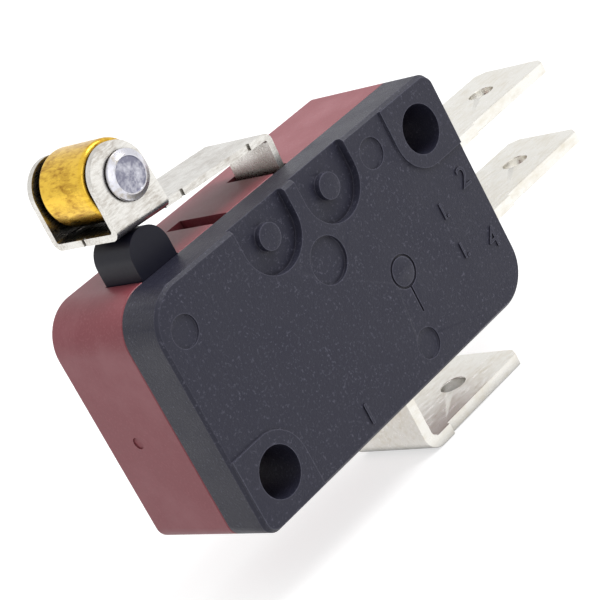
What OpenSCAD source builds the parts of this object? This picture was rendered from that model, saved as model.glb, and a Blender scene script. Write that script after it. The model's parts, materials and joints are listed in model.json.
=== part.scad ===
// Snap-action micro switch with a short hinged roller lever.
// Lengths in millimetres, angles in degrees.
// Frame: origin on the axis of the lower mounting hole, midway through the body.
// +X towards the terminals, +Z towards the lever, -Y is the cover's face.

/* [Body] */
// Body length, end to end
body_l = 27.8; // [27.4:0.1:28.2]
// Body height without plunger and lever
body_h = 15.9; // [15.7:0.1:16.3]
// Body thickness without the hole bosses
body_t = 10.3; // [10.1:0.1:10.7]
// Mounting hole diameter
hole_d = 3.2; // [3.1:0.05:3.4]
// Distance from a hole's centre to the nearest edges
hole_edge = 2.8; // [2.7:0.05:2.9]
// Radius of the two large corners
corner_big = 2.8; // [2.2:0.1:3.2]
// Radius of the two corners beside the holes
corner_small = 1.0; // [0.6:0.1:1.4]
// Where case and cover meet, from the middle of the thickness
part_y = -2.0; // [-2.4:0.1:-1.6]
// Bevel round the case's back edge
case_bevel = 0.3; // [0.1:0.05:0.5]
// Bevel round the cover's front edge
cover_bevel = 0.2; // [0.1:0.05:0.5]
// Height of the bosses round the mounting holes
boss_rise = 0.15; // [0.1:0.05:0.4]
// Radius of the bosses round the mounting holes
boss_r = 2.45; // [2.2:0.05:2.7]
// Thickness of the outer walls
wall = 1.3; // [1.1:0.1:1.5]
// Thickness of the wall that holds the straight terminals
end_wall = 4.7; // [4.5:0.1:4.9]
// Thickness of the roof over the mechanism
roof = 3.7; // [3.5:0.1:3.8]

/* [Cover face] */
// Depth of the two U-shaped pockets
pocket_depth = 0.6; // [0.3:0.05:0.7]
// Half width of a pocket
pocket_r = 2.45; // [2.2:0.05:2.7]
// Diameter of the boss in each pocket
pivot_boss_d = 1.7; // [1.5:0.1:2.2]
// Depth of the shallow round marks
disc_depth = 0.2; // [0.1:0.05:0.4]

/* [Lever] */
// Lever pivot, along the body
pivot_x = 13.5; // [13.3:0.05:13.7]
// Lever pivot, height
pivot_z = 11.25; // [11.1:0.05:11.4]
// Distance from the used pivot to the spare one
pivot_pitch = 5.85; // [5.7:0.05:6.2]
// Sheet thickness of the lever
lever_t = 0.45; // [0.4:0.05:0.5]
// Height of the strip's upper face over the pivot
lever_rise = 4.2; // [4.1:0.05:4.3]
// Length of the strip from the pivot to its free edge
lever_l = 13.45; // [13.3:0.05:13.6]
// Angle of the strip at rest
lever_tilt = 4.0; // [3.8:0.1:4.3]
// Near side of the strip
lever_y0 = -1.95; // [-1.97:0.01:-1.8]
// Far side of the strip
lever_y1 = 3.6; // [3.3:0.05:3.8]
// How far the near ear stands out from the strip
ear_out_near = 0.3; // [0.0:0.05:0.5]
// How far the far ear stands out from the strip
ear_out_far = 0.4; // [0.0:0.05:0.5]
// Outer radius of the bend over the leg
bend_r = 0.6; // [0.5:0.05:0.9]
// Width of the leg in the slot
leg_w = 4.2; // [3.8:0.1:4.3]
// Width of a slot in the case's top
slot_w = 1.3; // [1.2:0.05:1.5]

/* [Roller] */
// Roller diameter
roller_d = 4.8; // [4.4:0.05:4.85]
// Distance from the roller's axis to the strip's free edge
roller_edge = 2.35; // [2.2:0.05:2.5]
// Height of the roller's axis over the strip's upper face
roller_rise = 2.55; // [2.5:0.05:2.7]
// Radius of the ears' round tops
ear_r = 2.1; // [1.9:0.05:2.2]
// Rivet shank diameter
rivet_d = 1.6; // [1.4:0.1:1.8]
// Rivet head diameter
rivet_head_d = 3.1; // [2.5:0.1:3.3]
// Height of the rivet head
rivet_head_h = 0.45; // [0.3:0.05:0.6]

/* [Plunger] */
// Middle of the plunger, along the body
plunger_x = 2.05; // [1.95:0.05:2.15]
// Width of the plunger
plunger_w = 3.1; // [2.9:0.1:3.3]
// Depth of the plunger behind the cover
plunger_d = 3.5; // [3.2:0.1:3.6]

/* [Terminals] */
// Width of a tab
tab_w = 6.3; // [6.2:0.05:6.4]
// Thickness of a tab
tab_t = 0.8; // [0.7:0.05:0.9]
// Upper face of the upper tab
nc_z = 7.5; // [7.3:0.05:7.6]
// Upper face of the lower tab
no_z = 2.1; // [1.9:0.05:2.2]
// Free end of the two straight tabs
tab_end = 37.9; // [37.0:0.1:38.5]
// Upper face of the bent tab
com_z = -6.6; // [-7.0:0.1:-6.2]
// Free end of the bent tab
com_end = 23.7; // [22.5:0.1:24.0]
// Outer face of the bent terminal's leg
com_x = 12.2; // [12.0:0.05:12.3]
// Diameter of the hole in a tab
tab_hole_d = 1.8; // [1.6:0.1:2.0]
// Distance from the tab's hole to its free end
tab_hole_edge = 4.3; // [4.0:0.1:4.6]

/* [Mechanism] */
// Diameter of the contact faces
contact_d = 3.0; // [2.6:0.1:3.2]
// Open distance between the blade's contact and the lower contact
contact_gap = 1.07; // [1.0:0.01:1.1]
// Blade thickness
blade_t = 0.35; // [0.3:0.05:0.4]
// Height of the blade's middle at rest
blade_z = 4.95; // [4.9:0.05:5.0]
// Width of the blade
blade_w = 5.0; // [4.8:0.1:5.2]
// Width of the fork that the spring lies in
fork_w = 2.4; // [2.2:0.1:2.6]
// Width of the inner lever
arm_w = 4.0; // [3.8:0.1:4.2]
// Edge that the blade turns on
fulcrum_x = 5.6; // [5.5:0.05:5.7]
// Diameter of the inner lever's pin
pin_d = 1.0; // [0.9:0.1:1.2]
// Thickness of the inner lever and the bracket's sheet
strip_t = 0.4; // [0.35:0.05:0.45]
// Diameter of the contacts' and bracket's rivet shanks
shank_d = 1.6; // [1.4:0.1:1.8]
// Diameter of the spring's coils
spring_d = 1.6; // [1.4:0.1:1.7]
// Diameter of the spring's wire
wire_d = 0.3; // [0.24:0.02:0.34]
// Number of coils
coils = 12; // [10:1:14]

/* [Clearances] */
// Round the plunger in its opening
plunger_gap = 0.08; // [0.06:0.01:0.12]
// Between the lever's lugs and their sockets, radial
lug_gap = 0.05; // [0.02:0.01:0.08]
// Between roller and rivet, radial
roller_gap = 0.05; // [0.03:0.01:0.08]
// Between the roller and the ears, each side
roller_side = 0.25; // [0.2:0.01:0.3]
// Between the inner lever and its pin, radial
pin_gap = 0.05; // [0.03:0.01:0.08]
// Between touching faces that move, at rest
rest_gap = 0.05; // [0.03:0.01:0.07]
// Round the cover's spigots in the case
spigot_gap = 0.04; // [0.02:0.01:0.08]

/* [Hidden] */
$fn = 48;
x0 = -hole_edge;
x1 = body_l - hole_edge;
z0 = -hole_edge;
z1 = body_h - hole_edge;
hole_pitch_x = body_l - 2 * hole_edge;
hole_pitch_z = body_h - 2 * hole_edge;
back_y = body_t / 2;
face_y = -body_t / 2;
hole_r = hole_d / 2;
// inside of the housing
cav_back = back_y - 1.25;
cav_front = face_y + 1.25;
cav_x0 = x0 + wall;
cav_x1 = x1 - end_wall;
cav_z0 = z0 + wall;
cav_top = z1 - roof;
cav_boss = hole_r + 1.3;
plunger_roof = z1 - wall - 0.1;
// lever
spare_x = pivot_x - pivot_pitch;
slot_floor = pivot_z - 1.15;
slot_back = lever_y0 + leg_w + 0.25;
lug_h = 1.2;
lug_r = sqrt(pow(lug_h / 2, 2) + pow(lever_t / 2, 2));
socket_r = lug_r + lug_gap;
lug_near = face_y + 1.7;
lug_far = back_y - 1.65;
clevis_y0 = lever_y0 - ear_out_near;
clevis_y1 = lever_y1 + ear_out_far;
roller_x = lever_l - roller_edge;
roller_h = lever_rise + roller_rise;
roller_w = clevis_y1 - clevis_y0 - 2 * lever_t - 2 * roller_side;
roller_y = (clevis_y0 + clevis_y1) / 2;
ear_x = -roller_x - 0.4;
ear_z = roller_h + 0.15;
ear_back = -roller_x + 2.05;
fold_in = 0.2;
fold_r = fold_in + lever_t;
// plunger: its round top nearly touches the strip
plunger_r = plunger_w / 2;
plunger_top = pivot_z + plunger_r - rest_gap
    + (lever_rise - lever_t - plunger_r + sin(lever_tilt) * (pivot_x - plunger_x)) / cos(lever_tilt);
tip_r = 0.65;
flange_z = plunger_roof - 0.8;
// terminals
neck_w = 5.3;
shoulder_w = tab_w + 0.6;
nc_x = cav_x1 - 2.3;
// mechanism
pin_x = fulcrum_x + 5.6;
pin_z = cav_top - 1.3;
eye_r = pin_d / 2 + pin_gap + strip_t;
tip_z = pin_z + eye_r + rest_gap;
hook_x = fulcrum_x - 1.4;
hook_z = blade_z + 1.8;
anchor_x = fulcrum_x + 8;
head_h = 0.75;
nc_face = blade_z + blade_t / 2 + head_h + rest_gap;
no_face = blade_z - blade_t / 2 - head_h - contact_gap;
bracket_t = strip_t + 0.1;
com_top = cav_z0 + 2.4;
prong_x = fulcrum_x - bracket_t + 0.1;
rivet_x = fulcrum_x + 2.8;
// shallow round marks in the cover: x, z, radius
discs = [[pivot_x - 2.7, pivot_z - 3.5, 1.5], [-0.9, hole_pitch_z, 1.0],
         [hole_pitch_x - 4.45, hole_pitch_z + 0.85, 1.0], [x1 - 10.25, z0 + 2.05, 1.0]];
sign_x = x1 - 9.4;
sign_z = z0 + 6.75;

// Box between two corners.
module box(a, b) {
    translate([min(a[0], b[0]), min(a[1], b[1]), min(a[2], b[2])])
        cube([abs(b[0] - a[0]), abs(b[1] - a[1]), abs(b[2] - a[2])]);
}

// Round bar along Y from y = a to y = b.
module bar(x, z, r, a, b) {
    translate([x, b, z]) rotate([90, 0, 0]) cylinder(r = r, h = b - a);
}

// Extrudes an X-Z drawing from y = a to y = b.
module along_y(a, b) {
    translate([0, b, 0]) rotate([90, 0, 0]) linear_extrude(height = b - a) children();
}

// Section of a slab's edge: c bevels the a side, d the b side.
module edge_section(r, a, b, c, d) {
    polygon([[0, a], [r - c, a], [r, a + c], [r, b - d], [r - d, b], [0, b]]);
}

// Quarter disc of a slab's corner, turned to start at angle q in X-Z.
module corner(cx, cz, r, q, a, b, c, d) {
    translate([cx, 0, cz]) rotate([90, 0, 0]) rotate([0, 0, q])
        rotate_extrude(angle = 90) mirror([0, 1]) edge_section(r, a, b, c, d);
}

// Straight edge strip of a slab, w wide, ending at the outline.
module strip_x(za, dir, xa, xb, w, a, b, c, d) {
    translate([xa, 0, za]) mirror([0, 0, dir > 0 ? 0 : 1]) translate([0, 0, -w])
        rotate([90, 0, 90]) linear_extrude(height = xb - xa)
            polygon([[a, 0], [a, w - c], [a + c, w], [b - d, w], [b, w - d], [b, 0]]);
}
module strip_z(xa, dir, za, zb, w, a, b, c, d) {
    translate([xa, 0, za]) mirror([dir > 0 ? 0 : 1, 0, 0]) translate([-w, 0, 0])
        linear_extrude(height = zb - za)
            polygon([[0, a], [w - c, a], [w, a + c], [w, b - d], [w - d, b], [0, b]]);
}

// The body's outline as a slab: big corners at plunger end top and terminal end bottom.
module slab(a, b, c, d) {
    g = corner_big;
    s = corner_small;
    corner(x1 - s, z1 - s, s, 0, a, b, c, d);
    corner(x0 + g, z1 - g, g, 90, a, b, c, d);
    corner(x0 + s, z0 + s, s, 180, a, b, c, d);
    corner(x1 - g, z0 + g, g, 270, a, b, c, d);
    strip_x(z1, 1, x0 + g, x1 - s, s, a, b, c, d);
    strip_x(z0, -1, x0 + s, x1 - g, s, a, b, c, d);
    strip_z(x1, 1, z0 + g, z1 - s, s, a, b, c, d);
    strip_z(x0, -1, z0 + s, z1 - g, s, a, b, c, d);
    box([x0 + g, a, z0 + s], [x1 - g, b, z1 - s]);
    box([x0 + s, a, z0 + s], [x0 + g + 0.1, b, z1 - g]);
    box([x1 - g - 0.1, a, z0 + g], [x1 - s, b, z1 - s]);
}

// Outline of the mechanism's room, for both halves.
module room_2d() {
    difference() {
        union() {
            translate([cav_x0, cav_z0]) square([cav_x1 - cav_x0, cav_top - cav_z0]);
            translate([plunger_x - plunger_w / 2 - 0.9, cav_z0]) square([plunger_w + 1.8, plunger_roof - cav_z0]);
        }
        circle(r = cav_boss);
        translate([hole_pitch_x, hole_pitch_z]) circle(r = cav_boss);
    }
}

// Both mounting holes.
module holes(a, b, r) {
    bar(0, 0, r, a, b);
    bar(hole_pitch_x, hole_pitch_z, r, a, b);
}

// Ways through the walls for the three terminals.
module terminal_ways() {
    for (z = [nc_z, no_z])
        box([cav_x1 - 0.1, -neck_w / 2 - 0.02, z - tab_t - 0.01], [x1 + 0.1, neck_w / 2 + 0.02, z + 0.01]);
    box([com_x - 0.01, -neck_w / 2 - 0.02, z0 - 0.1], [com_x + tab_t + 0.01, neck_w / 2 + 0.02, cav_z0 + 0.1]);
}

module case() {
    color("#8E4650") difference() {
        slab(part_y, back_y, 0.1, case_bevel);
        along_y(part_y - 0.1, cav_back) room_2d();
        // plunger opening, up through the top
        box([plunger_x - plunger_w / 2 - plunger_gap, part_y - 0.1, plunger_roof - 0.1],
            [plunger_x + plunger_w / 2 + plunger_gap, lever_y0 + plunger_d + plunger_gap, z1 + 0.1]);
        // two slots for the lever's leg, with the round sockets for its lugs
        for (x = [pivot_x, spare_x]) {
            box([x - slot_w / 2 - 0.1, part_y - 0.1, slot_floor], [x + slot_w / 2 - 0.1, slot_back, z1 + 0.1]);
            bar(x, pivot_z, socket_r, slot_back - 0.1, lug_far + 0.15);
        }
        // pin's blind hole
        bar(pin_x, pin_z, pin_d / 2, cav_back - 0.1, cav_back + 0.6);
        // mounting holes, and the wider ends that take the cover's spigots
        holes(part_y - 0.1, back_y + 0.1, hole_r);
        holes(part_y - 0.1, part_y + 1.25, hole_r + 0.7 + spigot_gap);
        terminal_ways();
        // gate mark on the plunger end
        translate([x0 - 0.01, 1.9, 4.3]) rotate([0, 90, 0]) cylinder(d = 0.8, h = 0.11);
    }
}

// Raised corner piece round a mounting hole, drawn for the lower hole.
module hole_boss_2d() {
    circle(r = boss_r);
    translate([-hole_edge + cover_bevel, -hole_edge + corner_small])
        square([hole_edge - cover_bevel, boss_r + hole_edge - corner_small]);
    translate([-hole_edge + corner_small, -hole_edge + cover_bevel])
        square([boss_r + hole_edge - corner_small, hole_edge - cover_bevel]);
    translate([-hole_edge + corner_small, -hole_edge + corner_small]) circle(r = corner_small - cover_bevel);
}

// U-shaped pocket, open to the top edge, with its pivot boss left standing.
module pocket_2d() {
    difference() {
        union() {
            circle(r = pocket_r);
            translate([-pocket_r, 0]) square([2 * pocket_r, 3]);
        }
        translate([0, -0.15]) circle(d = pivot_boss_d);
    }
}

module cover() {
    color("#3F3F49") difference() {
        union() {
            slab(face_y, part_y, cover_bevel, 0.05);
            along_y(face_y - boss_rise, face_y + 0.1) {
                hole_boss_2d();
                translate([hole_pitch_x, hole_pitch_z]) rotate(180) hole_boss_2d();
            }
            holes(part_y - 0.1, part_y + 1.2, hole_r + 0.7);
        }
        along_y(cav_front, part_y + 0.1) room_2d();
        bar(pin_x, pin_z, pin_d / 2, cav_front - 0.5, cav_front + 0.1);
        // room for the lever's leg is in the case only: the cover has the sockets
        for (x = [pivot_x, spare_x]) {
            bar(x, pivot_z, socket_r, lug_near - 0.15, part_y + 0.1);
            along_y(face_y - 0.1, face_y + pocket_depth) translate([x + 0.2, pivot_z + 0.15]) pocket_2d();
            // the boss stands a little under the face
            bar(x + 0.2, pivot_z, pivot_boss_d / 2 + 0.01, face_y - 0.1, face_y + 0.15);
        }
        holes(face_y - 1, part_y + 2, hole_r);
        terminal_ways();
        // shallow round marks
        for (p = discs)
            bar(p[0], p[1], p[2], face_y - 0.1, face_y + disc_depth * (p[2] > 1 ? 1.25 : 0.75));
        // ring and stem, the sign for the common contact
        along_y(face_y - 0.1, face_y + 0.12) {
            translate([sign_x, sign_z]) difference() {
                circle(r = 1.1);
                circle(r = 0.94);
            }
            translate([sign_x - 0.07, sign_z - 2.9]) square([0.14, 1.85]);
        }
    }
}

module plunger() {
    y0 = lever_y0;
    y1 = lever_y0 + plunger_d;
    r = plunger_r;
    color("#2C2C33") {
        along_y(y0, y1) {
            translate([plunger_x, plunger_top - r]) circle(r = r);
            translate([plunger_x - r, flange_z]) square([plunger_w, plunger_top - r - flange_z]);
        }
        // flange that keeps it in
        box([plunger_x - r - 0.6, y0, flange_z], [plunger_x + r + 0.6, y1 + 0.5, flange_z + 0.7]);
        // round nose that pushes the inner lever
        along_y(y0 + 0.4, y1) {
            translate([plunger_x, tip_z + tip_r]) circle(r = tip_r);
            translate([plunger_x - tip_r, tip_z + tip_r]) square([2 * tip_r, flange_z - tip_z - tip_r + 0.1]);
        }
    }
}

// Where a line from the point (x, z) touches the ear's round top, on side s.
function touch(x, z, s) =
    let (d = norm([ear_x - x, ear_z - z]), q = atan2(ear_z - z, ear_x - x) + s * asin(ear_r / d),
         m = sqrt(d * d - ear_r * ear_r))
    [x + m * cos(q), z + m * sin(q)];

// Outline of the ears seen from the side, in the lever's own frame.
module ear_2d() {
    foot = lever_rise - lever_t;
    difference() {
        union() {
            translate([ear_x, ear_z]) circle(r = ear_r);
            polygon([[-lever_l, foot], [ear_back, foot], touch(ear_back, foot, -1), [ear_x, ear_z],
                     touch(-lever_l, foot, 1)]);
        }
        translate([-roller_x, roller_h]) circle(d = rivet_d);
    }
}

// Channel of the clevis seen from the end, with rounded folds.
module channel_2d() {
    w = clevis_y1 - clevis_y0;
    h = roller_rise + ear_r + lever_t + 0.5;
    difference() {
        union() {
            for (y = [fold_r, w - fold_r]) translate([y, fold_r]) circle(r = fold_r);
            translate([fold_r, 0]) square([w - 2 * fold_r, h]);
            translate([0, fold_r]) square([w, h - fold_r]);
        }
        translate([lever_t, lever_t]) {
            for (y = [fold_in, w - 2 * lever_t - fold_in]) translate([y, fold_in]) circle(r = fold_in);
            translate([fold_in, 0]) square([w - 2 * lever_t - 2 * fold_in, h]);
            translate([0, fold_in]) square([w - 2 * lever_t, h]);
        }
    }
}

// Side view of the strip with its leg bent down.
module bend_2d() {
    t = lever_t;
    o = bend_r;
    difference() {
        union() {
            translate([ear_back - 0.2, lever_rise - t]) square([-ear_back + 0.2 + t / 2 - o, t]);
            translate([-t / 2, -0.95]) square([t, lever_rise + 0.95 - o]);
            translate([t / 2 - o, lever_rise - o]) circle(r = o);
        }
        translate([t / 2 - o, lever_rise - o]) circle(r = o - t);
        translate([t / 2 - 2 * o - 0.3, lever_rise - 2 * o - 0.3]) square([o + 0.3, 2 * o + 0.3 - t]);
        translate([-o - 1, lever_rise - 2 * o - 0.2]) square([o + 1 - t / 2, o + 0.2]);
    }
}

module lever() {
    color("#C9C9C6") translate([pivot_x, 0, pivot_z]) rotate([0, lever_tilt, 0]) difference() {
        union() {
            // clevis: two ears folded up from the strip
            intersection() {
                along_y(clevis_y0, clevis_y1) ear_2d();
                translate([-lever_l - 0.5, clevis_y0, lever_rise - lever_t])
                    rotate([90, 0, 90]) linear_extrude(height = lever_l - roller_x + ear_r + 3) channel_2d();
            }
            along_y(lever_y0, lever_y1) bend_2d();
            // lugs the lever turns on
            box([-lever_t / 2, lug_near, -lug_h / 2], [lever_t / 2, lug_far, lug_h / 2]);
        }
        // the leg is narrower than the strip
        box([-2, lever_y0 + leg_w, lug_h / 2], [2, lever_y1 + 1, lever_rise - 1.1]);
        box([-2, lever_y0 + leg_w, -1.5], [2, lever_y1 + 1, -lug_h / 2]);
        box([-2, lug_far, -1.5], [2, lever_y1 + 1, lug_h / 2 + 0.1]);
        // small notches in the edges, left by the forming tool
        for (x = [-7.75, -1.75]) box([x - 0.13, lever_y0 - 0.1, lever_rise - lever_t - 0.1],
                                   [x + 0.13, lever_y0 + 0.18, lever_rise + 0.1]);
        box([-lever_l - 0.1, 0.97, lever_rise - lever_t - 0.1], [-lever_l + 0.18, 1.23, lever_rise + 0.1]);
    }
}

// Places its children on the roller's axis.
module at_roller() {
    translate([pivot_x, 0, pivot_z]) rotate([0, lever_tilt, 0])
        translate([-roller_x, roller_y, roller_h]) rotate([90, 0, 0]) children();
}

module roller() {
    r = roller_d / 2;
    h = roller_w / 2;
    color("#D9A62E") at_roller() rotate_extrude()
        polygon([[rivet_d / 2 + roller_gap, -h], [r - 0.3, -h], [r, -h + 0.3],
                 [r, h - 0.3], [r - 0.3, h], [rivet_d / 2 + roller_gap, h]]);
}

module roller_rivet() {
    w = (clevis_y1 - clevis_y0) / 2;
    r = rivet_head_d / 2;
    h = rivet_head_h;
    color("#B9BAC2") at_roller() rotate_extrude()
        polygon([[0, -w - 0.35], [1.0, -w - 0.35], [1.25, -w], [rivet_d / 2, -w],
                 [rivet_d / 2, w], [r, w], [r, w + h / 3], [r - 0.4, w + h],
                 [r - 0.5, w + h - 0.05], [0, w + h - 0.05]]);
}

// Plan of a tab along X: neck, shoulder, tab with bevelled corners and hole.
module tab_2d(a, b, start, stop) {
    w = tab_w / 2;
    difference() {
        union() {
            translate([a, -neck_w / 2]) square([start - a + 0.1, neck_w]);
            translate([start, -shoulder_w / 2]) square([b - start, shoulder_w]);
            polygon([[start, -w], [stop - 1.0, -w], [stop, -w + 1.3], [stop, w - 1.3],
                     [stop - 1.0, w], [start, w]]);
        }
        translate([stop - tab_hole_edge, 0]) circle(d = tab_hole_d);
    }
}

// Straight tab from inside the housing, with a bevelled free end.
module straight_terminal(z) {
    intersection() {
        translate([0, 0, z - tab_t]) linear_extrude(height = tab_t) difference() {
            tab_2d(nc_x - 2.1, x1 + 3.4, x1 + 0.1, tab_end);
            translate([nc_x, 0]) circle(d = shank_d);
        }
        along_y(-5, 5) polygon([[nc_x - 3, z - tab_t], [tab_end - 0.5, z - tab_t], [tab_end, z - tab_t + 0.25],
                                [tab_end, z - 0.25], [tab_end - 0.5, z], [nc_x - 3, z]]);
    }
}

module nc_terminal() {
    color("#D8D4C8") straight_terminal(nc_z);
}

module no_terminal() {
    color("#D8D4C8") straight_terminal(no_z);
}

module com_terminal() {
    t = tab_t;
    o = 1.3;
    zb = com_z - t;
    color("#D8D4C8") {
        intersection() {
            // side view: leg, bend, tab
            along_y(-5, 5) difference() {
                union() {
                    translate([com_x, zb + o]) square([t, com_top - zb - o]);
                    translate([com_x + o, zb + o]) circle(r = o);
                    polygon([[com_x + o, zb], [com_end - 0.5, zb], [com_end, zb + 0.25],
                             [com_end, com_z - 0.25], [com_end - 0.5, com_z], [com_x + o, com_z]]);
                }
                translate([com_x + o, zb + o]) circle(r = o - t);
                translate([com_x + t, zb + o]) square([2 * o, o]);
                translate([com_x + o, com_z]) square([o, 2 * o]);
            }
            union() {
                // plan of the tab
                translate([0, 0, zb - 1]) linear_extrude(height = z0 - 0.1 - zb + 1)
                    tab_2d(com_x - 1, com_x + 2.5, com_x - 0.5, com_end);
                box([com_x - 1, -neck_w / 2, z0 - 0.2], [com_x + 2, neck_w / 2, com_top]);
            }
        }
        // foot that carries the bracket
        difference() {
            box([fulcrum_x + 0.8, -neck_w / 2, com_top - t], [com_x + 0.1, neck_w / 2, com_top]);
            translate([rivet_x, 0, com_top - t - 0.1]) cylinder(d = shank_d, h = t + 0.2);
        }
    }
}

// Fixed contact on a terminal's face f, with its shank through to the side away from it.
module fixed_contact(f, near, far) {
    d = far > near ? 1 : -1;
    color("#CFCFD4") translate([nc_x, 0, 0]) {
        translate([0, 0, min(f, near)]) cylinder(d = contact_d, h = abs(near - f));
        translate([0, 0, min(near, far)]) cylinder(d = shank_d, h = abs(far - near));
        translate([0, 0, d > 0 ? far : far - 0.3]) cylinder(d = 2.4, h = 0.3);
    }
}

module nc_contact() {
    fixed_contact(nc_face, nc_z - tab_t, nc_z);
}

module no_contact() {
    fixed_contact(no_face, no_z, no_z - tab_t);
}

module moving_blade() {
    w = blade_w / 2;
    color("#C8803C") translate([0, 0, blade_z - blade_t / 2]) linear_extrude(height = blade_t) difference() {
        union() {
            translate([fulcrum_x + 0.03, -w]) square([nc_x - fulcrum_x - 1.0, 2 * w]);
            polygon([[nc_x - 1.2, -w], [nc_x, -w + 0.6], [nc_x, w - 0.6], [nc_x - 1.2, w]]);
            translate([nc_x, 0]) circle(r = w - 0.6);
        }
        // fork that the spring lies in
        translate([fulcrum_x - 0.1, -fork_w / 2]) square([anchor_x - fulcrum_x - 1.8, fork_w]);
        translate([anchor_x - 1.9, 0]) circle(r = fork_w / 2);
        // hole for the spring's hook
        translate([anchor_x, 0]) circle(d = 0.7);
        translate([nc_x, 0]) circle(d = shank_d);
    }
}

module moving_contact() {
    color("#CFCFD4") translate([nc_x, 0, blade_z]) {
        cylinder(d = shank_d, h = blade_t, center = true);
        for (s = [0, 1]) mirror([0, 0, s]) translate([0, 0, blade_t / 2]) {
            cylinder(d = contact_d - 0.2, h = head_h - 0.15);
            translate([0, 0, head_h - 0.15]) cylinder(d1 = contact_d - 0.2, d2 = contact_d - 0.6, h = 0.15);
        }
    }
}

// Coil spring between the blade's hole and the inner lever's tongue.
// Each turn is two half rings, tilted so that their ends meet.
module tension_spring() {
    w = wire_d / 2;
    r = spring_d / 2 - w;
    span = anchor_x - hook_x;
    drop = hook_z - blade_z;
    lean = acos(r / sqrt(span * span + drop * drop)) - atan2(span, drop);
    len = span * cos(lean) + drop * sin(lean);
    pitch = 0.56;
    start = (len - coils * pitch) / 2;
    stop = start + coils * pitch;
    tilt = atan2(pitch / 2, 2 * r);
    color("#B7B8BC") translate([anchor_x, 0, blade_z]) rotate([0, lean - 90, 0]) {
        for (i = [0 : coils - 1]) {
            for (h = [0, 1])
                translate([0, 0, start + (i + h / 2 + 0.25) * pitch])
                    rotate([0, h == 0 ? tilt : -tilt, 0]) rotate([0, 0, 180 * h])
                        rotate_extrude(angle = 180, $fn = 24)
                            translate([r / cos(tilt), 0]) circle(r = w, $fn = 16);
        }
        // straight ends, each turned down at its hook
        translate([r, 0, 0]) cylinder(r = w, h = start, $fn = 16);
        translate([r, 0, stop]) cylinder(r = w, h = len + 0.4 - stop, $fn = 16);
        for (z = [0, len + 0.4]) {
            translate([r, 0, z]) sphere(r = w, $fn = 16);
            translate([z == 0 ? -0.45 : -0.1, 0, z]) rotate([0, 90, 0])
                cylinder(r = w, h = r + (z == 0 ? 0.45 : 0.1), $fn = 16);
        }
    }
}

module actuator() {
    z = pin_z + eye_r - strip_t;
    w = arm_w / 2;
    color("#C9A24A") difference() {
        union() {
            bar(pin_x, pin_z, eye_r, -w, w);
            box([plunger_x - 1.35, -w, z], [pin_x, w, z + strip_t]);
            box([hook_x - strip_t / 2, -1.1, hook_z - 0.9], [hook_x + strip_t / 2, 1.1, z + 0.1]);
        }
        bar(pin_x, pin_z, pin_d / 2 + pin_gap, -w - 0.1, w + 0.1);
        // window the tongue is folded out of
        box([hook_x + strip_t / 2, -1.2, z - 0.1], [hook_x + 3.6, 1.2, z + strip_t + 0.1]);
        // hole for the spring's hook
        translate([hook_x - 1, 0, hook_z]) rotate([0, 90, 0]) cylinder(d = 0.8, h = 2);
    }
}

module actuator_pin() {
    color("#BFC0C4") bar(pin_x, pin_z, pin_d / 2, cav_front - 0.5, cav_back + 0.6);
}

module fulcrum_bracket() {
    t = bracket_t;
    z = com_top;
    w = blade_w / 2 + 0.1;
    color("#CDA04C") difference() {
        union() {
            box([prong_x, -w, z], [fulcrum_x + 5, w, z + t]);
            box([prong_x, -w, z], [prong_x + t, w, blade_z + 0.9]);
        }
        // gap between the prongs
        box([prong_x - 0.1, -fork_w / 2 - 0.2, z + t + 0.7], [prong_x + t + 0.1, fork_w / 2 + 0.2, blade_z + 1]);
        // notch that the blade's edge bears in
        along_y(-3, 3) polygon([[fulcrum_x - 0.06, blade_z], [prong_x + t + 0.1, blade_z - 0.55],
                                [prong_x + t + 0.1, blade_z + 0.55]]);
        translate([rivet_x, 0, z - 0.1]) cylinder(d = shank_d, h = t + 0.2);
    }
}

module bracket_rivet() {
    color("#B7B8BC") translate([rivet_x, 0, com_top]) {
        translate([0, 0, -tab_t]) cylinder(d = shank_d, h = tab_t + bracket_t);
        translate([0, 0, bracket_t]) cylinder(d1 = 2.6, d2 = 2.0, h = 0.5);
        translate([0, 0, -tab_t - 0.3]) cylinder(d1 = 2.2, d2 = 2.6, h = 0.3);
    }
}

case();
cover();
plunger();
lever();
roller();
roller_rivet();
com_terminal();
nc_terminal();
no_terminal();
nc_contact();
no_contact();
moving_blade();
moving_contact();
tension_spring();
actuator();
actuator_pin();
fulcrum_bracket();
bracket_rivet();
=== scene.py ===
"""Looks for a lever micro switch: maroon and black moulded housing, hinged roller lever, three tabs.

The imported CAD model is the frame. Everything here is in metres, in the same frame.
"""

import json
import math

import bmesh
import bpy
from mathutils import Matrix, Vector

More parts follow.
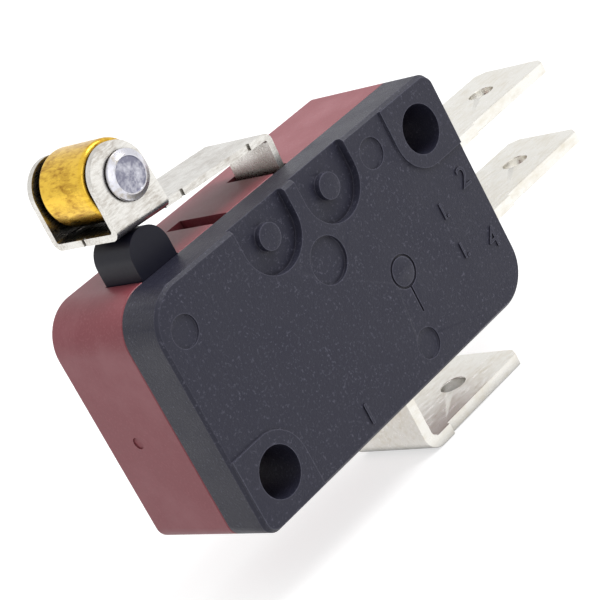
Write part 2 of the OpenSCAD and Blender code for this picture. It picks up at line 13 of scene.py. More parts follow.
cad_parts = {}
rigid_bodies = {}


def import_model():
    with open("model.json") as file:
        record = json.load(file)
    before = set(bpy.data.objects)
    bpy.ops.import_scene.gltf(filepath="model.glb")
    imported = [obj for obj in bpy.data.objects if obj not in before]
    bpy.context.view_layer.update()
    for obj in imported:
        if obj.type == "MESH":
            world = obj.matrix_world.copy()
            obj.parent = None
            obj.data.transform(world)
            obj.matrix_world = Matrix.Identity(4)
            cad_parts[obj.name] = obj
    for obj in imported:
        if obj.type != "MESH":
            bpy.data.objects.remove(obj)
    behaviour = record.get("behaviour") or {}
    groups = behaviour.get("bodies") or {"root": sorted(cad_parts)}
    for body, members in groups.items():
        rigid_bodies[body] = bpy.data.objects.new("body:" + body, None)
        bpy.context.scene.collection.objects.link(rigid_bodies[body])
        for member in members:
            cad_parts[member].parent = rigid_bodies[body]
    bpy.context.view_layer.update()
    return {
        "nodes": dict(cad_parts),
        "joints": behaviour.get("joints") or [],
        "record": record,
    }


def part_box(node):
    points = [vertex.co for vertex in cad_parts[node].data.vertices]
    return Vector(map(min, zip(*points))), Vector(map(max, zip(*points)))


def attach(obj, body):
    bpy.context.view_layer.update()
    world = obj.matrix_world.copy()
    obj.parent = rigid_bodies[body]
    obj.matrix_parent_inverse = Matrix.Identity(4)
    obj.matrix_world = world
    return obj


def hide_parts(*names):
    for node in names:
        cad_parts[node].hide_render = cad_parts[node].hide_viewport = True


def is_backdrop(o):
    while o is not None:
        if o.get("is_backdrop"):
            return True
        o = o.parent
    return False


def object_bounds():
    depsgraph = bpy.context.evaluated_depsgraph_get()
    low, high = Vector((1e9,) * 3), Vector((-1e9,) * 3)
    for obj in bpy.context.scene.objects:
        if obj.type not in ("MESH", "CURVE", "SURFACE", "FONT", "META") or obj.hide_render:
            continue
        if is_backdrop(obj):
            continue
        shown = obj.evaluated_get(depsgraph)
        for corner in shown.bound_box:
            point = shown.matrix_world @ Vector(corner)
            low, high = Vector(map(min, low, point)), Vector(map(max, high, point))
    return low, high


bl_info = {
    "name": "Lever micro switch",
    "version": (1, 0, 0),
    "blender": (4, 5, 0),
    "location": "View3D > Sidebar > Switch",
    "description": "Dresses the packed lever micro switch with its finishes, rounded edges and marks",
    "category": "Object",
}

for start_object in list(bpy.data.objects):
    bpy.data.objects.remove(start_object)
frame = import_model()
MM = 0.001

# Faces that meet at less than SMOOTH_ANGLE are shaded as one, and edges over SHARP_ANGLE are rounded (degrees).
SMOOTH_ANGLE = 20
SHARP_ANGLE = 25

# Sockets of a colour Mix node: its share, its two colours and its result.
SHARE, FIRST, SECOND, MIXED = 0, 6, 7, 2

# Terminal numbers on the cover: text, left end along X and foot along Z (mm). The font's size is FONT_RATIO
# times the numbers' height.
NUMBERS = (("2", 23.15, 5.3), ("4", 23.1, 0.8), ("1", 7.4, -2.05))
FONT_RATIO = 1.35
# Strokes beside two of them: middle along X, foot and top along Z (mm). DASH is where the dash at the foot
# starts and ends, in half stroke widths from the stroke's middle.
STROKES = ((20.75, 4.6, 5.7), (20.8, 1.7, 2.8))
DASH = (2.2, 5.0)
# How far the cover's mounting bosses stand out from its face.
BOSS_RISE = 0.15 * MM

# Roller's bore radius and the chamfer at its ends.
BORE = 0.85 * MM
CHAMFER = 0.1 * MM
# Rivet: shank radius and the heights of its near and far heads.
SHANK = 0.8 * MM
NEAR_HEAD, FAR_HEAD = 0.45 * MM, 0.35 * MM
# Near head's struck face: depth at its middle and at its edge, and the edge's distance from the head's side.
STRUCK_DEPTH, STRUCK_EDGE, STRUCK_INSET = 0.06 * MM, 0.05 * MM, 0.5 * MM
# The punch's mark covers the faces that lie this far or farther in from the side.
PUNCH_INSET = 0.46 * MM
# Corner at the top: radius, and its centre's distance from the side and depth under the face's plane.
TOP_ROUND, TOP_INSET, TOP_DEPTH = 0.1 * MM, 0.42 * MM, 0.1 * MM
# Corner at the side: radius, its centre's height over the seat, and how far the foot stands in.
SIDE_ROUND, SIDE_RISE, FOOT_INSET = 0.14 * MM, 0.16 * MM, 0.12 * MM
# Far head: radius at its foot, its round edge's radius and centre (out and along), and radius of its flat end.
FAR_RADIUS, FAR_ROUND, FAR_FLAT = 1.22 * MM, 0.22 * MM, 0.9 * MM
FAR_OUT, FAR_ALONG = 1.0 * MM, 0.12 * MM
# Steps round the turned pieces.
ROLLER_STEPS, RIVET_STEPS = 96, 72

# Stage: half width of the floor (m), its gap below the part, and its own glow where it is seen.
FLOOR_HALF = 3.0
FLOOR_GAP = 0.05 * MM
FLOOR_GLOW = 0.66
# Light from the surroundings: its plain level, and how it leans towards one side.
SKY_LEVEL = 0.66
SKY_LEAN = (0.3, -0.1, 0.25)
# Lamps: name, strength, spread in degrees, and direction.
LAMPS = (
    ("key", 1.6, 28, (-0.45, 0.35, -0.82)),
    ("fill", 0.35, 50, (0.35, 0.9, -0.25)),
)
# Camera: place (mm), its right and up directions, focal length and sensor width (mm).
EYE_PLACE = (-71.901, -104.958, 47.144)
EYE_RIGHT = (0.60025369, -0.6589293, -0.45332955)
EYE_UP = (0.53611198, -0.08913575, 0.83942764)
LENS, SENSOR = 136.456, 36.0


def linear(hex_colour):
    """The scene's linear colour of an sRGB hex value, with alpha 1."""
    parts = [int(hex_colour[i : i + 2], 16) / 255 for i in (1, 3, 5)]
    return [c / 12.92 if c <= 0.04045 else ((c + 0.055) / 1.055) ** 2.4 for c in parts] + [1.0]


def colour(name, hex_colour, text):
    """A colour property with its default from a hex value."""
    return bpy.props.FloatVectorProperty(
        name=name, description=text, subtype="COLOR", size=4, min=0, max=1, default=linear(hex_colour)
    )


def length(name, value_mm, text):
    """A length property whose default is given in millimetres."""
    return bpy.props.FloatProperty(
        name=name, description=text, subtype="DISTANCE", unit="LENGTH", default=value_mm * MM, min=0
    )


class SwitchSizes(bpy.types.PropertyGroup):
    """Sizes that the looks add to the frame."""

    moulded_edge: length("Moulded edge", 0.07, "Rounding on the housing's edges")
    stamped_edge: length("Stamped edge", 0.05, "Rounding on the sheet metal's edges")
    roller_edge: length("Roller edge", 0.34, "Rounding on the roller's rims")
    roller_gap_near: length("Roller's near gap", 0.4, "From the CAD roller's near face to this one's")
    roller_gap_far: length("Roller's far gap", 0.12, "From the CAD roller's far face to this one's")
    number_height: length("Number height", 1.5, "Height of the terminal numbers")
    mark_rise: length("Mark rise", 0.09, "How far the numbers and strokes stand out from the cover")
    stroke_width: length("Stroke width", 0.16, "Width of the strokes beside the terminals")
    spark_grain: length("Spark grain", 0.13, "Grain size of the cover's spark-eroded face")
    # The rims are painted highlights along the cover's edges; this is their width.
    rim_highlight_width: length("Rim width", 0.12, "Width of the worn rims on the cover")
    case_grain: length("Case grain", 0.16, "Grain size of the case's satin surface")


class SwitchColours(bpy.types.PropertyGroup):
    """Colours of the materials."""

    maroon: colour("Maroon", "#82343E", "Moulded case")
    maroon_pale: colour("Maroon, pale", "#94525A", "Paler flow marks in the case")
    black: colour("Black", "#262634", "Moulded cover")
    # The fleck colour also serves as the painted highlight along the cover's rims.
    black_fleck_and_highlight: colour("Black, flecks", "#6C6C7C", "Glass fibres that show in the cover")
    button: colour("Button", "#131320", "Moulded plunger")
    nickel: colour("Nickel", "#DAD8D3", "Nickel plating")
    nickel_dull: colour("Nickel, dull", "#B4AEA6", "Rolling streaks in the plating")
    brass: colour("Brass", "#EBC148", "Turned brass")
    brass_brown: colour("Brass, brown", "#A0701E", "Tarnish on the brass")
    tin: colour("Tin", "#E8E6E0", "Tin plating on the tabs")
    tin_dull: colour("Tin, dull", "#D2CAB8", "Duller patches on the tabs")
    rivet: colour("Rivet", "#D2D2DA", "Struck face of the rivet")
    silver: colour("Silver", "#CFCFD2", "Contacts")
    copper: colour("Copper", "#C07A45", "Contact blade")
    steel: colour("Spring steel", "#AEB0B6", "Spring and pin")
    struck_face: colour("Struck face", "#7E7E8E", "Flat face of the rivet, left by the punch")
    # Painted shade: this colour darkens slots, folds and recesses where less light reaches.
    painted_recess_shade: colour("Recess", "#120C0C", "Grime and shade deep in slots and folds")
    floor: colour("Floor", "#BEBEBE", "Studio floor")


# ---------------------------------------------------------------- helpers


def add(tree, kind, inputs=None, **settings):
    """Adds one node. An input is given a value, or an output socket to link from."""
    made = tree.nodes.new(kind)
    for key, value in settings.items():
        setattr(made, key, value)
    for key, value in (inputs or {}).items():
        if isinstance(value, bpy.types.NodeSocket):
            tree.links.new(value, made.inputs[key])
        else:
            made.inputs[key].default_value = value
    return made


def new_material(name):
    """An empty material: its tree, its shader and its Object coordinates in millimetres."""
    material = bpy.data.materials.new(name)
    material.use_nodes = True
    tree = material.node_tree
    tree.nodes.clear()
    shader = add(tree, "ShaderNodeBsdfPrincipled")
    add(tree, "ShaderNodeOutputMaterial", {"Surface": shader.outputs[0]})
    place = add(tree, "ShaderNodeTexCoord")
    in_mm = add(tree, "ShaderNodeMapping", {"Vector": place.outputs["Object"], "Scale": (1 / MM, 1 / MM, 1 / MM)})
    return material, tree, shader, in_mm.outputs[0]


def darkened_by_painted_shade(tree, tint, reach):
    """The colour, darkened with painted shade where the surface faces another one nearer than reach in
    millimetres.
    """
    near = add(tree, "ShaderNodeAmbientOcclusion", {"Distance": reach * MM}, samples=8)
    clear = add(tree, "ShaderNodeMapRange", {"Value": near.outputs["AO"], "From Min": 0.1, "From Max": 0.8})
    dark = add(
        tree, "ShaderNodeMix", {SHARE: clear.outputs[0], FIRST: colours().painted_recess_shade, SECOND: tint}, data_type="RGBA"
    )
    return dark.outputs[MIXED]


def seen_directly(tree):
    """1 for camera, glossy and transmission rays, which see plain white, and 0 for the rest."""
    rays = add(tree, "ShaderNodeLightPath")
    seen = rays.outputs["Is Camera Ray"]
    for kind in ("Is Glossy Ray", "Is Transmission Ray"):
        seen = add(tree, "ShaderNodeMath", {0: seen, 1: rays.outputs[kind]}, operation="MAXIMUM").outputs[0]
    return seen


def sizes():
    """The scene's sizes."""
    return bpy.context.scene.switch_sizes


def colours():
    """The scene's colours."""
    return bpy.context.scene.switch_colours


def paint(piece, material):
    """Gives a piece one material."""
    piece.data.materials.clear()
    piece.data.materials.append(material)


def keep(shape, name, body, material, stands_for=()):
    """Makes a finished piece from a bmesh, on a CAD body, in place of the CAD nodes named."""
    mesh = bpy.data.meshes.new(name)
    shape.to_mesh(mesh)
    shape.free()
    for face in mesh.polygons:
        face.use_smooth = True
    mesh.set_sharp_from_angle(angle=math.radians(SMOOTH_ANGLE))
    piece = bpy.data.objects.new(name, mesh)
    bpy.context.scene.collection.objects.link(piece)
    even = piece.modifiers.new("even_faces", "WEIGHTED_NORMAL")
    even.keep_sharp = True
    paint(piece, material)
    if stands_for:
        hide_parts(*stands_for)
    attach(piece, body)
    return piece


def soft_copy(node, width):
    """A merged copy of a CAD node with its sharp edges rounded."""
    shape = bmesh.new()
    shape.from_mesh(frame["nodes"][node].data)
    bmesh.ops.remove_doubles(shape, verts=shape.verts, dist=1e-6)
    edges = [e for e in shape.edges if e.is_manifold and e.calc_face_angle(0) > math.radians(SHARP_ANGLE)]
    bmesh.ops.bevel(
        shape, geom=edges, offset=width, offset_type="OFFSET", segments=2, profile=0.5,
        affect="EDGES", clamp_overlap=True, material=-1,
    )
    return shape


def body_of(node):
    """The CAD body that a node belongs to."""
    for body, nodes in frame["record"]["behaviour"]["bodies"].items():
        if node in nodes:
            return body
    raise RuntimeError("no body holds " + node)


def joint_place(name):
    """A joint's place at rest."""
    for joint in frame["joints"]:
        if joint["name"] == name:
            return Vector(joint["pos_m"])
    raise RuntimeError("no joint is named " + name)


def turned(outline, centre, steps):
    """Spins a closed outline of (radius, distance along Y) round the Y axis through centre."""
    shape = bmesh.new()
    dots = [shape.verts.new((r, y, 0)) for r, y in outline]
    edges = [shape.edges.new((a, b)) for a, b in zip(dots, dots[1:] + dots[:1])]
    bmesh.ops.spin(
        shape, geom=dots + edges, cent=(0, 0, 0), axis=(0, 1, 0), angle=math.tau, steps=steps,
        use_merge=True, use_duplicate=False,
    )
    bmesh.ops.remove_doubles(shape, verts=shape.verts, dist=1e-7)
    bmesh.ops.dissolve_degenerate(shape, dist=1e-8, edges=shape.edges)
    bmesh.ops.recalc_face_normals(shape, faces=shape.faces)
    bmesh.ops.translate(shape, vec=centre, verts=shape.verts)
    return shape


def round_corner(centre, radius, start, stop, count=5):
    """Points on an arc, for a turned outline."""
    spread = [math.radians(start + (stop - start) * i / count) for i in range(count + 1)]
    return [(centre[0] + radius * math.cos(a), centre[1] + radius * math.sin(a)) for a in spread]


# ---------------------------------------------------------------- materials


def moulded_maroon():
    """Glass-filled nylon, injection moulded: a satin skin with faint paler flow marks and a fine grain."""
    c = colours()
    material, tree, shader, mm = new_material("maroon_glass_filled_nylon")
    flow = add(tree, "ShaderNodeTexNoise", {"Vector": mm, "Scale": 0.22, "Detail": 4, "Roughness": 0.6})
    share = add(tree, "ShaderNodeMapRange", {"Value": flow.outputs[0], "From Min": 0.45, "From Max": 0.75})
    grain = add(
        tree, "ShaderNodeTexNoise", {"Vector": mm, "Scale": MM / sizes().case_grain, "Detail": 3, "Roughness": 0.6}
    )
    fleck = add(tree, "ShaderNodeMapRange", {"Value": grain.outputs[0], "From Min": 0.5, "From Max": 0.8})
    tint = add(
        tree, "ShaderNodeMix", {SHARE: share.outputs[0], FIRST: c.maroon, SECOND: c.maroon_pale}, data_type="RGBA"
    )
    grainy = add(
        tree, "ShaderNodeMix",
        {SHARE: fleck.outputs[0], FIRST: tint.outputs[MIXED], SECOND: c.maroon_pale}, data_type="RGBA",
    )
    # Painted shade darkens the case's slots and recesses.
    tree.links.new(darkened_by_painted_shade(tree, grainy.outputs[MIXED], reach=0.8), shader.inputs["Base Color"])
    rough = add(
        tree, "ShaderNodeMapRange",
        {"Value": grain.outputs[0], "From Min": 0.3, "From Max": 0.7, "To Min": 0.4, "To Max": 0.52},
    )
    tree.links.new(rough.outputs[0], shader.inputs["Roughness"])
    bump = add(tree, "ShaderNodeBump", {"Height": grain.outputs[0], "Strength": 0.25, "Distance": 0.02 * MM})
    tree.links.new(bump.outputs[0], shader.inputs["Normal"])
    shader.inputs["IOR"].default_value = 1.53
    return material


def moulded_black():
    """PBT with glass fibre, moulded in a spark-eroded tool: a fine pitted face, pale flecks and painted highlights
    on the rims.
    """
    c = colours()
    material, tree, shader, mm = new_material("black_spark_eroded_pbt")
    per_mm = MM / sizes().spark_grain
    grain = add(tree, "ShaderNodeTexNoise", {"Vector": mm, "Scale": per_mm, "Detail": 4, "Roughness": 0.65})
    cloud = add(tree, "ShaderNodeTexNoise", {"Vector": mm, "Scale": 0.35, "Detail": 3, "Roughness": 0.55})
    fleck = add(tree, "ShaderNodeTexNoise", {"Vector": mm, "Scale": per_mm * 0.7, "Detail": 2, "Roughness": 0.7})
    seen = add(tree, "ShaderNodeMapRange", {"Value": fleck.outputs[0], "From Min": 0.58, "From Max": 0.78})
    cloudy = add(tree, "ShaderNodeMath", {0: seen.outputs[0], 1: cloud.outputs[0]}, operation="MULTIPLY")
    tint = add(
        tree, "ShaderNodeMix", {SHARE: cloudy.outputs[0], FIRST: c.black, SECOND: c.black_fleck_and_highlight}, data_type="RGBA"
    )
    # Painted highlight: a Bevel-node mask lightens the cover's edges towards the fleck colour.
    eased = add(tree, "ShaderNodeBevel", {"Radius": sizes().rim_highlight_width}, samples=6)
    facing = add(tree, "ShaderNodeNewGeometry")
    agree = add(
        tree, "ShaderNodeVectorMath",
        {0: eased.outputs[0], 1: facing.outputs["True Normal"]}, operation="DOT_PRODUCT",
    )
    highlight_share = add(
        tree, "ShaderNodeMapRange",
        {"Value": agree.outputs["Value"], "From Min": 0.99, "From Max": 0.8, "To Max": 0.55},
    )
    highlit = add(
        tree, "ShaderNodeMix",
        {SHARE: highlight_share.outputs[0], FIRST: tint.outputs[MIXED], SECOND: c.black_fleck_and_highlight}, data_type="RGBA",
    )
    # Painted shade darkens the cover's recesses.
    tree.links.new(darkened_by_painted_shade(tree, highlit.outputs[MIXED], reach=0.5), shader.inputs["Base Color"])
    rough = add(
        tree, "ShaderNodeMapRange",
        {"Value": cloud.outputs[0], "From Min": 0.3, "From Max": 0.7, "To Min": 0.36, "To Max": 0.48},
    )
    tree.links.new(rough.outputs[0], shader.inputs["Roughness"])
    bump = add(tree, "ShaderNodeBump", {"Height": grain.outputs[0], "Strength": 0.8, "Distance": 0.04 * MM})
    tree.links.new(bump.outputs[0], shader.inputs["Normal"])
    shader.inputs["IOR"].default_value = 1.55
    shader.inputs["Specular IOR Level"].default_value = 0.24
    return material


def moulded_button():
    """Acetal, moulded and polished by sliding: smooth, a little shinier than the housing."""
    material, tree, shader, mm = new_material("black_acetal")
    grain = add(tree, "ShaderNodeTexNoise", {"Vector": mm, "Scale": 4.0, "Detail": 3})
    wear = add(
        tree, "ShaderNodeMapRange",
        {"Value": grain.outputs[0], "From Min": 0.3, "From Max": 0.7, "To Min": 0.3, "To Max": 0.42},
    )
    tree.links.new(wear.outputs[0], shader.inputs["Roughness"])
    shader.inputs["Base Color"].default_value = colours().button
    bump = add(tree, "ShaderNodeBump", {"Height": grain.outputs[0], "Strength": 0.1, "Distance": 0.01 * MM})
    tree.links.new(bump.outputs[0], shader.inputs["Normal"])
    shader.inputs["IOR"].default_value = 1.48
    shader.inputs["Specular IOR Level"].default_value = 0.24
    return material


def plated(name, bright, dull, grain, rough, streak=0.12, patch=0.2):
    """Rolled or turned metal with thin plating: streaks and soft duller patches.

    grain scales the streaks' pattern along each axis, rough is the range of roughness, streak is the streaks'
    width in millimetres, and patch is the span of the pattern over which dull takes over from bright.
    """
    material, tree, shader, mm = new_material(name)
    stretched = add(tree, "ShaderNodeMapping", {"Vector": mm, "Scale": grain})
    lines = add(
        tree, "ShaderNodeTexNoise",
        {"Vector": stretched.outputs[0], "Scale": 1 / streak, "Detail": 4, "Roughness": 0.65},
    )
    cloud = add(tree, "ShaderNodeTexNoise", {"Vector": mm, "Scale": 0.55, "Detail": 4, "Roughness": 0.6})
    both = add(tree, "ShaderNodeMath", {0: lines.outputs[0], 1: cloud.outputs[0]}, operation="MULTIPLY")
    share = add(
        tree, "ShaderNodeMapRange", {"Value": both.outputs[0], "From Min": 0.2, "From Max": 0.2 + patch}
    )
    tint = add(tree, "ShaderNodeMix", {SHARE: share.outputs[0], FIRST: bright, SECOND: dull}, data_type="RGBA")
    # Painted shade darkens the metal in folds, slots and recesses.
    tree.links.new(darkened_by_painted_shade(tree, tint.outputs[MIXED], reach=1.3), shader.inputs["Base Color"])
    brushed = add(
        tree, "ShaderNodeMapRange",
        {"Value": lines.outputs[0], "From Min": 0.3, "From Max": 0.7, "To Min": rough[0], "To Max": rough[1]},
    )
    tree.links.new(brushed.outputs[0], shader.inputs["Roughness"])
    bump = add(tree, "ShaderNodeBump", {"Height": lines.outputs[0], "Strength": 0.12, "Distance": 0.01 * MM})
    tree.links.new(bump.outputs[0], shader.inputs["Normal"])
    shader.inputs["Metallic"].default_value = 1.0
    return material


# ---------------------------------------------------------------- pieces


class SWITCH_OT_housing(bpy.types.Operator):
    """Case, cover and plunger with moulded finishes and softened edges"""

    bl_idname = "switch.housing"
    bl_label = "Housing"

    def execute(self, context):
        edge = sizes().moulded_edge
        for node, material, slot in (
            ("case", moulded_maroon(), "maroon_plastic"),
            ("cover", moulded_black(), "black_plastic"),
            ("plunger", moulded_button(), "black_plastic"),
        ):
            keep(soft_copy(node, edge), node + "_moulding", body_of(node), material, [node])
        return {"FINISHED"}


class SWITCH_OT_marks(bpy.types.Operator):
    """Raised terminal numbers and strokes on the cover"""

    bl_idname = "switch.marks"
    bl_label = "Terminal marks"

    def execute(self, context):
        s = sizes()
        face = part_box("cover")[0][1] + BOSS_RISE
        shape = bmesh.new()
        for digit, x, z in NUMBERS:
            curve = bpy.data.curves.new("digit", "FONT")
            curve.body = digit
            curve.size = s.number_height * FONT_RATIO
            curve.extrude = s.mark_rise
            written = bpy.data.objects.new("digit", curve)
            mesh = bpy.data.meshes.new_from_object(written)
            mesh.transform(Matrix.Translation((x * MM, face, z * MM)) @ Matrix.Rotation(math.pi / 2, 4, "X"))
            shape.from_mesh(mesh)
            bpy.data.objects.remove(written)
            bpy.data.curves.remove(curve)
            bpy.data.meshes.remove(mesh)
        half = s.stroke_width / 2
        for x, low, high in STROKES:
            stroke = ((x * MM - half, low * MM), (x * MM + half, high * MM))
            dash = ((x * MM + DASH[0] * half, low * MM), (x * MM + DASH[1] * half, low * MM + 2 * half))
            for a, b in (stroke, dash):
                made = bmesh.ops.create_cube(shape, size=1)["verts"]
                bmesh.ops.scale(shape, vec=(b[0] - a[0], 2 * s.mark_rise, b[1] - a[1]), verts=made)
                middle = ((a[0] + b[0]) / 2, face, (a[1] + b[1]) / 2)
                bmesh.ops.translate(shape, vec=middle, verts=made)
        black = bpy.data.materials["black_spark_eroded_pbt"]
        keep(shape, "terminal_marks", "housing", black)
        return {"FINISHED"}


class SWITCH_OT_lever(bpy.types.Operator):
    """Folded lever with its clevis, in nickel-plated steel"""

    bl_idname = "switch.lever"
    bl_label = "Lever"

    def execute(self, context):
        c = colours()
        metal = plated("nickel_plated_steel", c.nickel, c.nickel_dull, grain=(0.25, 1, 1), rough=(0.2, 0.36))
        shape = soft_copy("lever", sizes().stamped_edge)
        keep(shape, "lever_sheet", body_of("lever"), metal, ["lever"])
        return {"FINISHED"}


class SWITCH_OT_roller(bpy.types.Operator):
    """Turned brass roller and the rivet it runs on"""

    bl_idname = "switch.roller"
    bl_label = "Roller and rivet"

    def execute(self, context):
        c = colours()
        axle = joint_place("roller_spin")
        low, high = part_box("roller")
        radius, edge = (high[0] - low[0]) / 2, sizes().roller_edge
        near, far = low[1] - axle.y + sizes().roller_gap_near, high[1] - axle.y - sizes().roller_gap_far
        outline = [(BORE, near + CHAMFER), (BORE + CHAMFER, near)]
        outline += round_corner((radius - edge, near + edge), edge, -90, 0)
        outline += round_corner((radius - edge, far - edge), edge, 0, 90)
        outline += [(BORE + CHAMFER, far), (BORE, far - CHAMFER)]
        brass = plated(
            "turned_brass", c.brass, c.brass_brown, grain=(1, 0.3, 1), rough=(0.18, 0.34), streak=0.2, patch=0.22
        )
        shape = turned(outline, axle, ROLLER_STEPS)
        keep(shape, "roller_turned", body_of("roller"), brass, ["roller"])

        low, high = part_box("roller_rivet")
        near, far = low[1] - axle.y, high[1] - axle.y
        head = (high[0] - low[0]) / 2
        near_seat, far_seat = near + NEAR_HEAD, far - FAR_HEAD
        # From the struck face over the near head's side, along the shank and over the far head.
        outline = [(0.0, near + STRUCK_DEPTH), (head - STRUCK_INSET, near + STRUCK_EDGE)]
        outline += round_corner((head - TOP_INSET, near + TOP_DEPTH), TOP_ROUND, 230, 320, 4)
        outline += round_corner((head - SIDE_ROUND, near_seat - SIDE_RISE), SIDE_ROUND, -50, 60, 4)
        outline += [(head - FOOT_INSET, near_seat), (SHANK, near_seat)]
        outline += [(SHANK, far_seat), (FAR_RADIUS, far_seat)]
        outline += round_corner((FAR_OUT, far_seat + FAR_ALONG), FAR_ROUND, 0, 70, 4)
        outline += [(FAR_FLAT, far), (0.0, far)]
        steel = plated(
            "struck_steel_rivet", c.rivet, c.nickel_dull,
            grain=(1, 1, 1), rough=(0.22, 0.42), streak=0.25, patch=0.16,
        )
        shape = turned(outline, axle, RIVET_STEPS)
        rivet = keep(shape, "rivet_struck", body_of("roller_rivet"), steel, ["roller_rivet"])
        punched = plated(
            "punched_steel", c.struck_face, c.rivet, grain=(1, 1, 1), rough=(0.3, 0.5), streak=0.35
        )
        rivet.data.materials.append(punched)
        for face in rivet.data.polygons:
            out = face.center - axle
            if out.y < near + 2 * STRUCK_DEPTH and math.hypot(out.x, out.z) < head - PUNCH_INSET:
                face.material_index = 1
        return {"FINISHED"}


class SWITCH_OT_terminals(bpy.types.Operator):
    """Three stamped tabs in tinned brass"""

    bl_idname = "switch.terminals"
    bl_label = "Terminals"

    def execute(self, context):
        c = colours()
        metal = plated(
            "tinned_brass", c.tin, c.tin_dull, grain=(0.3, 1, 1), rough=(0.24, 0.4), streak=0.3, patch=0.36
        )
        for node in ("nc_terminal", "no_terminal", "com_terminal"):
            shape = soft_copy(node, sizes().stamped_edge)
            keep(shape, node + "_stamping", body_of(node), metal, [node])
        return {"FINISHED"}


class SWITCH_OT_mechanism(bpy.types.Operator):
    """Finishes of the pieces inside the housing"""

    bl_idname = "switch.mechanism"
    bl_label = "Mechanism"

    def execute(self, context):
        c = colours()
        nodes = frame["nodes"]
        silver = plated("silver_contact", c.silver, c.nickel_dull, grain=(1, 1, 1), rough=(0.25, 0.4))
        copper = plated("beryllium_copper", c.copper, c.brass_brown, grain=(0.3, 1, 1), rough=(0.25, 0.4))
        steel = plated("spring_steel", c.steel, c.nickel_dull, grain=(1, 1, 1), rough=(0.25, 0.38))
        brass = plated("stamped_brass", c.brass, c.brass_brown, grain=(0.3, 1, 1), rough=(0.25, 0.4))
        for material, names in (
            (silver, ("nc_contact", "no_contact", "moving_contact")),
            (copper, ("moving_blade",)),
            (steel, ("tension_spring", "actuator_pin", "bracket_rivet")),
            (brass, ("actuator", "fulcrum_bracket")),
        ):
            for name in names:
                paint(nodes[name], material)
        return {"FINISHED"}


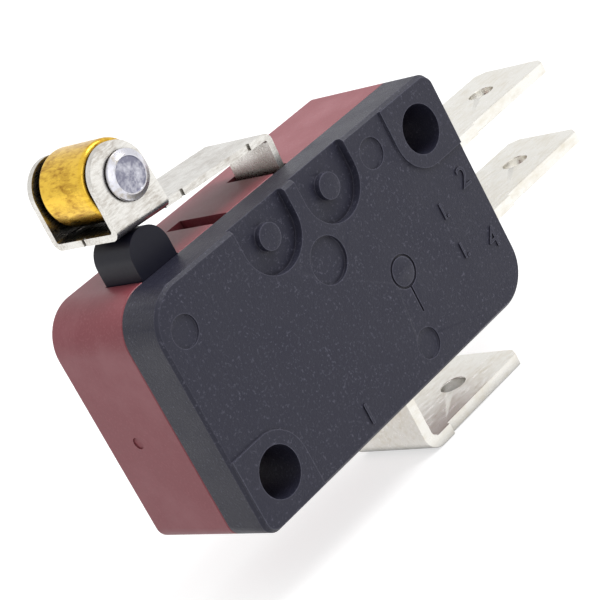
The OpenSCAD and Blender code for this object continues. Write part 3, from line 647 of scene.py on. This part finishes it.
class SWITCH_OT_stage(bpy.types.Operator):
    """Floor, lamps, white surroundings and the camera"""

    bl_idname = "switch.stage"
    bl_label = "Stage"

    def execute(self, context):
        scene = context.scene
        scene.view_settings.view_transform = "Standard"
        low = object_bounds()[0]

        shape = bmesh.new()
        bmesh.ops.create_grid(shape, x_segments=1, y_segments=1, size=FLOOR_HALF)
        bmesh.ops.translate(shape, vec=(0, 0, low[2] - FLOOR_GAP), verts=shape.verts)
        mesh = bpy.data.meshes.new("floor")
        shape.to_mesh(mesh)
        shape.free()
        floor = bpy.data.objects.new("floor", mesh)
        scene.collection.objects.link(floor)
        floor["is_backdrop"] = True
        material = bpy.data.materials.new("studio_floor")
        material.use_nodes = True
        tree = material.node_tree
        tree.nodes.clear()
        lift = add(tree, "ShaderNodeMath", {0: seen_directly(tree), 1: FLOOR_GLOW}, operation="MULTIPLY")
        matt = add(tree, "ShaderNodeBsdfDiffuse", {"Color": colours().floor})
        glow = add(tree, "ShaderNodeEmission", {"Color": (1, 1, 1, 1), "Strength": lift.outputs[0]})
        both = add(tree, "ShaderNodeAddShader", {0: matt.outputs[0], 1: glow.outputs[0]})
        # Seen from below, the floor is clear.
        side = add(tree, "ShaderNodeNewGeometry").outputs["Backfacing"]
        clear = add(tree, "ShaderNodeBsdfTransparent")
        upper = add(tree, "ShaderNodeMixShader", {0: side, 1: both.outputs[0], 2: clear.outputs[0]})
        add(tree, "ShaderNodeOutputMaterial", {"Surface": upper.outputs[0]})
        paint(floor, material)

        world = bpy.data.worlds.new("studio")
        scene.world = world
        world.use_nodes = True
        tree = world.node_tree
        tree.nodes.clear()
        towards = add(tree, "ShaderNodeTexCoord").outputs["Generated"]
        lean = add(tree, "ShaderNodeVectorMath", {0: towards, 1: SKY_LEAN}, operation="DOT_PRODUCT")
        soft = add(tree, "ShaderNodeMath", {0: lean.outputs["Value"], 1: SKY_LEVEL}, operation="ADD")
        level = add(
            tree, "ShaderNodeMix",
            {"Factor": seen_directly(tree), "A": soft.outputs[0], "B": 1.0}, data_type="FLOAT",
        )
        sky = add(tree, "ShaderNodeBackground", {"Color": (1, 1, 1, 1), "Strength": level.outputs[0]})
        add(tree, "ShaderNodeOutputWorld", {"Surface": sky.outputs[0]})

        for name, strength, spread, towards in LAMPS:
            lamp = bpy.data.lights.new(name, "SUN")
            lamp.energy = strength
            lamp.angle = math.radians(spread)
            holder = bpy.data.objects.new(name, lamp)
            holder.rotation_mode = "QUATERNION"
            holder.rotation_quaternion = Vector(towards).to_track_quat("-Z", "Y")
            scene.collection.objects.link(holder)

        eye = bpy.data.cameras.new("camera")
        eye.sensor_width = SENSOR
        eye.lens = LENS
        eye.clip_start, eye.clip_end = 0.01, 10.0
        camera = bpy.data.objects.new("camera", eye)
        right, up = Vector(EYE_RIGHT), Vector(EYE_UP)
        turn = Matrix((right, up, right.cross(up))).transposed()
        camera.matrix_world = Matrix.Translation(Vector(EYE_PLACE) * MM) @ turn.to_4x4()
        scene.collection.objects.link(camera)
        scene.camera = camera
        return {"FINISHED"}


OPERATORS = (
    SWITCH_OT_housing,
    SWITCH_OT_marks,
    SWITCH_OT_lever,
    SWITCH_OT_roller,
    SWITCH_OT_terminals,
    SWITCH_OT_mechanism,
    SWITCH_OT_stage,
)


class SWITCH_PT_panel(bpy.types.Panel):
    """Sizes, colours and steps of the micro switch"""

    bl_idname = "SWITCH_PT_panel"
    bl_label = "Lever micro switch"
    bl_space_type = "VIEW_3D"
    bl_region_type = "UI"
    bl_category = "Switch"

    def draw(self, context):
        column = self.layout.column()
        for group in (context.scene.switch_sizes, context.scene.switch_colours):
            for key in group.__annotations__:
                column.prop(group, key)
        for operator in OPERATORS:
            column.operator(operator.bl_idname)


CLASSES = (SwitchSizes, SwitchColours, *OPERATORS, SWITCH_PT_panel)


def register():
    for cls in CLASSES:
        bpy.utils.register_class(cls)
    bpy.types.Scene.switch_sizes = bpy.props.PointerProperty(type=SwitchSizes)
    bpy.types.Scene.switch_colours = bpy.props.PointerProperty(type=SwitchColours)


def unregister():
    del bpy.types.Scene.switch_colours
    del bpy.types.Scene.switch_sizes
    for cls in reversed(CLASSES):
        bpy.utils.unregister_class(cls)


def main():
    register()
    for operator in OPERATORS:
        getattr(bpy.ops.switch, operator.bl_idname.split(".")[1])()


if __name__ == "__main__":
    main()
